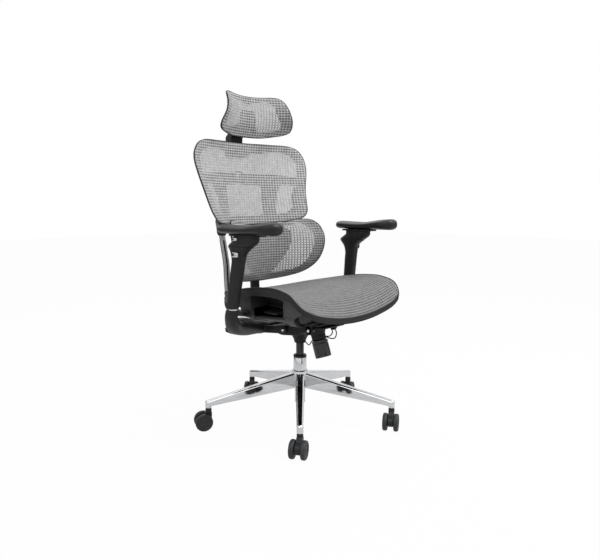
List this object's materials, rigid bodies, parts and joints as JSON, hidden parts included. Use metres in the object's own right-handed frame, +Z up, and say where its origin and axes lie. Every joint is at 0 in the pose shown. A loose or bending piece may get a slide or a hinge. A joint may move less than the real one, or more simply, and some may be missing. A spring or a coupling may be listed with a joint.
{
  "type": "gaming chair",
  "caption": "Ergonomic mesh swivel chair with headrest, split back, lumbar pad, adjustable arms and a castered star base.",
  "frame": {"origin": "on the floor, at the middle of the rectangle that the whole chair covers", "axes": "+Z up, the sitter faces -Y, and -X is the sitter's right-hand side"},
  "size_m": [0.6938, 0.8053, 1.165],
  "materials": {
    "chrome": "polished chrome plate",
    "aluminium": "satin aluminium",
    "black_plastic": "fine-grained black nylon",
    "soft_black": "soft satin black polyurethane",
    "gloss_black": "gloss black",
    "mesh_fabric": "woven grey mesh"
  },
  "bodies": {
    "base": {"base_star": "chrome", "lift_tube": "chrome", "lift_guide": "black_plastic"},
    "caster_1": {"caster_hood_1": "black_plastic"},
    "wheel_1a": {"caster_wheel_1a": "soft_black"},
    "wheel_1b": {"caster_wheel_1b": "soft_black"},
    "caster_2": {"caster_hood_2": "black_plastic"},
    "wheel_2a": {"caster_wheel_2a": "soft_black"},
    "wheel_2b": {"caster_wheel_2b": "soft_black"},
    "caster_3": {"caster_hood_3": "black_plastic"},
    "wheel_3a": {"caster_wheel_3a": "soft_black"},
    "wheel_3b": {"caster_wheel_3b": "soft_black"},
    "caster_4": {"caster_hood_4": "black_plastic"},
    "wheel_4a": {"caster_wheel_4a": "soft_black"},
    "wheel_4b": {"caster_wheel_4b": "soft_black"},
    "caster_5": {"caster_hood_5": "black_plastic"},
    "wheel_5a": {"caster_wheel_5a": "soft_black"},
    "wheel_5b": {"caster_wheel_5b": "soft_black"},
    "column": {"lift_column": "black_plastic"},
    "mechanism": {"mechanism_housing": "black_plastic", "recline_pin": "chrome", "seat_tilt_pin": "chrome", "cable_front": "black_plastic", "cable_middle": "black_plastic", "cable_rear": "black_plastic"},
    "knob": {"tension_knob": "gloss_black"},
    "carrier": {"seat_carrier": "black_plastic"},
    "seat": {"seat_frame": "black_plastic", "seat_mesh": "mesh_fabric"},
    "paddle_right": {"height_paddle": "soft_black"},
    "paddle_left": {"tilt_lock_paddle": "soft_black"},
    "yoke": {"recline_yoke": "black_plastic", "spine_upright": "aluminium", "lumbar_column": "black_plastic", "arm_core_right": "chrome", "arm_core_left": "chrome"},
    "back": {"back_carriage": "black_plastic", "back_frame": "black_plastic", "back_mesh": "mesh_fabric"},
    "head_post": {"headrest_post": "black_plastic"},
    "headrest": {"headrest_frame": "black_plastic", "headrest_mesh": "mesh_fabric"},
    "lumbar_slide": {"lumbar_slider": "black_plastic"},
    "lumbar_pad": {"lumbar_frame": "black_plastic", "lumbar_mesh": "mesh_fabric"},
    "arm_right": {"arm_sleeve_right": "black_plastic"},
    "trigger_right": {"arm_trigger_right": "chrome"},
    "pad_button_right": {"arm_pad_button_right": "chrome"},
    "arm_top_right": {"arm_plate_right": "black_plastic"},
    "pad_right": {"arm_pad_right": "soft_black"},
    "arm_left": {"arm_sleeve_left": "black_plastic"},
    "trigger_left": {"arm_trigger_left": "chrome"},
    "pad_button_left": {"arm_pad_button_left": "chrome"},
    "arm_top_left": {"arm_plate_left": "black_plastic"},
    "pad_left": {"arm_pad_left": "soft_black"}
  },
  "joints": [
    {"name": "caster_1_swivel", "type": "hinge", "parent": "base", "child": "caster_1", "pos_m": [-0.23364, -0.29614, 0.085], "axis": [0, 0, 1], "continuous": true},
    {"name": "wheel_1a_roll", "type": "hinge", "parent": "caster_1", "child": "wheel_1a", "pos_m": [-0.24923, -0.30514, 0.03], "axis": [-0.5, 0.866, 0], "continuous": true},
    {"name": "wheel_1b_roll", "type": "hinge", "parent": "caster_1", "child": "wheel_1b", "pos_m": [-0.24923, -0.30514, 0.03], "axis": [-0.5, 0.866, 0], "continuous": true},
    {"name": "caster_2_swivel", "type": "hinge", "parent": "base", "child": "caster_2", "pos_m": [0.14952, -0.35683, 0.085], "axis": [0, 0, 1], "continuous": true},
    {"name": "wheel_2a_roll", "type": "hinge", "parent": "caster_2", "child": "wheel_2a", "pos_m": [0.13393, -0.36583, 0.03], "axis": [-0.5, 0.866, 0], "continuous": true},
    {"name": "wheel_2b_roll", "type": "hinge", "parent": "caster_2", "child": "wheel_2b", "pos_m": [0.13393, -0.36583, 0.03], "axis": [-0.5, 0.866, 0], "continuous": true},
    {"name": "caster_3_swivel", "type": "hinge", "parent": "base", "child": "caster_3", "pos_m": [0.32564, -0.01118, 0.085], "axis": [0, 0, 1], "continuous": true},
    {"name": "wheel_3a_roll", "type": "hinge", "parent": "caster_3", "child": "wheel_3a", "pos_m": [0.31005, -0.02018, 0.03], "axis": [-0.5, 0.866, 0], "continuous": true},
    {"name": "wheel_3b_roll", "type": "hinge", "parent": "caster_3", "child": "wheel_3b", "pos_m": [0.31005, -0.02018, 0.03], "axis": [-0.5, 0.866, 0], "continuous": true},
    {"name": "caster_4_swivel", "type": "hinge", "parent": "base", "child": "caster_4", "pos_m": [0.05132, 0.26314, 0.085], "axis": [0, 0, 1], "continuous": true},
    {"name": "wheel_4a_roll", "type": "hinge", "parent": "caster_4", "child": "wheel_4a", "pos_m": [0.03753, 0.25157, 0.03], "axis": [-0.6428, 0.766, 0], "continuous": true},
    {"name": "wheel_4b_roll", "type": "hinge", "parent": "caster_4", "child": "wheel_4b", "pos_m": [0.03753, 0.25157, 0.03], "axis": [-0.6428, 0.766, 0], "continuous": true},
    {"name": "caster_5_swivel", "type": "hinge", "parent": "base", "child": "caster_5", "pos_m": [-0.29433, 0.08702, 0.085], "axis": [0, 0, 1], "continuous": true},
    {"name": "wheel_5a_roll", "type": "hinge", "parent": "caster_5", "child": "wheel_5a", "pos_m": [-0.31037, 0.09519, 0.03], "axis": [0.454, 0.891, 0], "continuous": true},
    {"name": "wheel_5b_roll", "type": "hinge", "parent": "caster_5", "child": "wheel_5b", "pos_m": [-0.31037, 0.09519, 0.03], "axis": [0.454, 0.891, 0], "continuous": true},
    {"name": "seat_height", "type": "slide", "parent": "base", "child": "column", "axis": [0, 0, 1], "range_m": [-0.035, 0.05]},
    {"name": "seat_swivel", "type": "hinge", "parent": "column", "child": "mechanism", "pos_m": [-0.0003, -0.0628, 0.3], "axis": [0, 0, 1], "continuous": true},
    {"name": "tension_knob_turn", "type": "hinge", "parent": "mechanism", "child": "knob", "pos_m": [-0.0003, -0.1778, 0.247], "axis": [0, -0.3363, -0.9417], "range_deg": [-360, 360]},
    {"name": "seat_tilt", "type": "hinge", "parent": "mechanism", "child": "carrier", "pos_m": [-0.0003, -0.1668, 0.347], "axis": [-1, 0, 0], "range_deg": [0, 8]},
    {"name": "seat_depth", "type": "slide", "parent": "carrier", "child": "seat", "axis": [0, -1, 0], "range_m": [0, 0.05]},
    {"name": "height_paddle_pull", "type": "hinge", "parent": "seat", "child": "paddle_right", "pos_m": [-0.1663, -0.1328, 0.425], "axis": [0, 1, 0], "range_deg": [0, 12], "stiffness_Nm_per_rad": 1.2, "springref_deg": -14.32},
    {"name": "tilt_lock_paddle_pull", "type": "hinge", "parent": "seat", "child": "paddle_left", "pos_m": [0.1657, -0.1328, 0.425], "axis": [0, -1, 0], "range_deg": [0, 12], "stiffness_Nm_per_rad": 1.2, "springref_deg": -14.32},
    {"name": "recline", "type": "hinge", "parent": "mechanism", "child": "yoke", "pos_m": [-0.0003, -0.0428, 0.332], "axis": [-1, 0, 0], "range_deg": [0, 24], "stiffness_Nm_per_rad": 90, "springref_deg": -22.92},
    {"name": "back_height", "type": "slide", "parent": "yoke", "child": "back", "axis": [0, 0.2241, 0.9746], "range_m": [0, 0.04]},
    {"name": "headrest_height", "type": "slide", "parent": "back", "child": "head_post", "axis": [0, 0, 1], "range_m": [0, 0.03]},
    {"name": "headrest_tilt", "type": "hinge", "parent": "head_post", "child": "headrest", "pos_m": [-0.0003, 0.2632, 1.046], "axis": [1, 0, 0], "range_deg": [-15, 20]},
    {"name": "lumbar_height", "type": "slide", "parent": "yoke", "child": "lumbar_slide", "axis": [0, 0.0417, 0.9991], "range_m": [-0.015, 0.03]},
    {"name": "lumbar_tilt", "type": "hinge", "parent": "lumbar_slide", "child": "lumbar_pad", "pos_m": [-0.0003, 0.1692, 0.596], "axis": [1, 0, 0], "range_deg": [-5, 5], "stiffness_Nm_per_rad": 40},
    {"name": "arm_right_height", "type": "slide", "parent": "yoke", "child": "arm_right", "axis": [0.0668, -0.1432, 0.9874], "range_m": [0, 0.08]},
    {"name": "arm_right_trigger_press", "type": "slide", "parent": "arm_right", "child": "trigger_right", "axis": [1, 0, 0], "range_m": [0, 0.002], "stiffness_N_per_m": 900, "springref_m": -0.003},
    {"name": "arm_right_pad_button_press", "type": "slide", "parent": "arm_right", "child": "pad_button_right", "axis": [1, 0, 0], "range_m": [0, 0.002], "stiffness_N_per_m": 700, "springref_m": -0.003},
    {"name": "arm_right_pad_slide", "type": "slide", "parent": "arm_right", "child": "arm_top_right", "axis": [0, -1, 0], "range_m": [0, 0.03]},
    {"name": "arm_right_pad_swivel", "type": "hinge", "parent": "arm_top_right", "child": "pad_right", "pos_m": [-0.2718, -0.1128, 0.675], "axis": [0, 0, -1], "range_deg": [-20, 10]},
    {"name": "arm_left_height", "type": "slide", "parent": "yoke", "child": "arm_left", "axis": [-0.0668, -0.1432, 0.9874], "range_m": [0, 0.08]},
    {"name": "arm_left_trigger_press", "type": "slide", "parent": "arm_left", "child": "trigger_left", "axis": [-1, 0, 0], "range_m": [0, 0.002], "stiffness_N_per_m": 900, "springref_m": -0.003},
    {"name": "arm_left_pad_button_press", "type": "slide", "parent": "arm_left", "child": "pad_button_left", "axis": [-1, 0, 0], "range_m": [0, 0.002], "stiffness_N_per_m": 700, "springref_m": -0.003},
    {"name": "arm_left_pad_slide", "type": "slide", "parent": "arm_left", "child": "arm_top_left", "axis": [0, -1, 0], "range_m": [0, 0.03]},
    {"name": "arm_left_pad_swivel", "type": "hinge", "parent": "arm_top_left", "child": "pad_left", "pos_m": [0.2712, -0.1128, 0.675], "axis": [0, 0, 1], "range_deg": [-20, 10]}
  ],
  "couplings": [
    {"joint": "seat_tilt", "follows": "recline", "ratio": 0.33333}
  ]
}
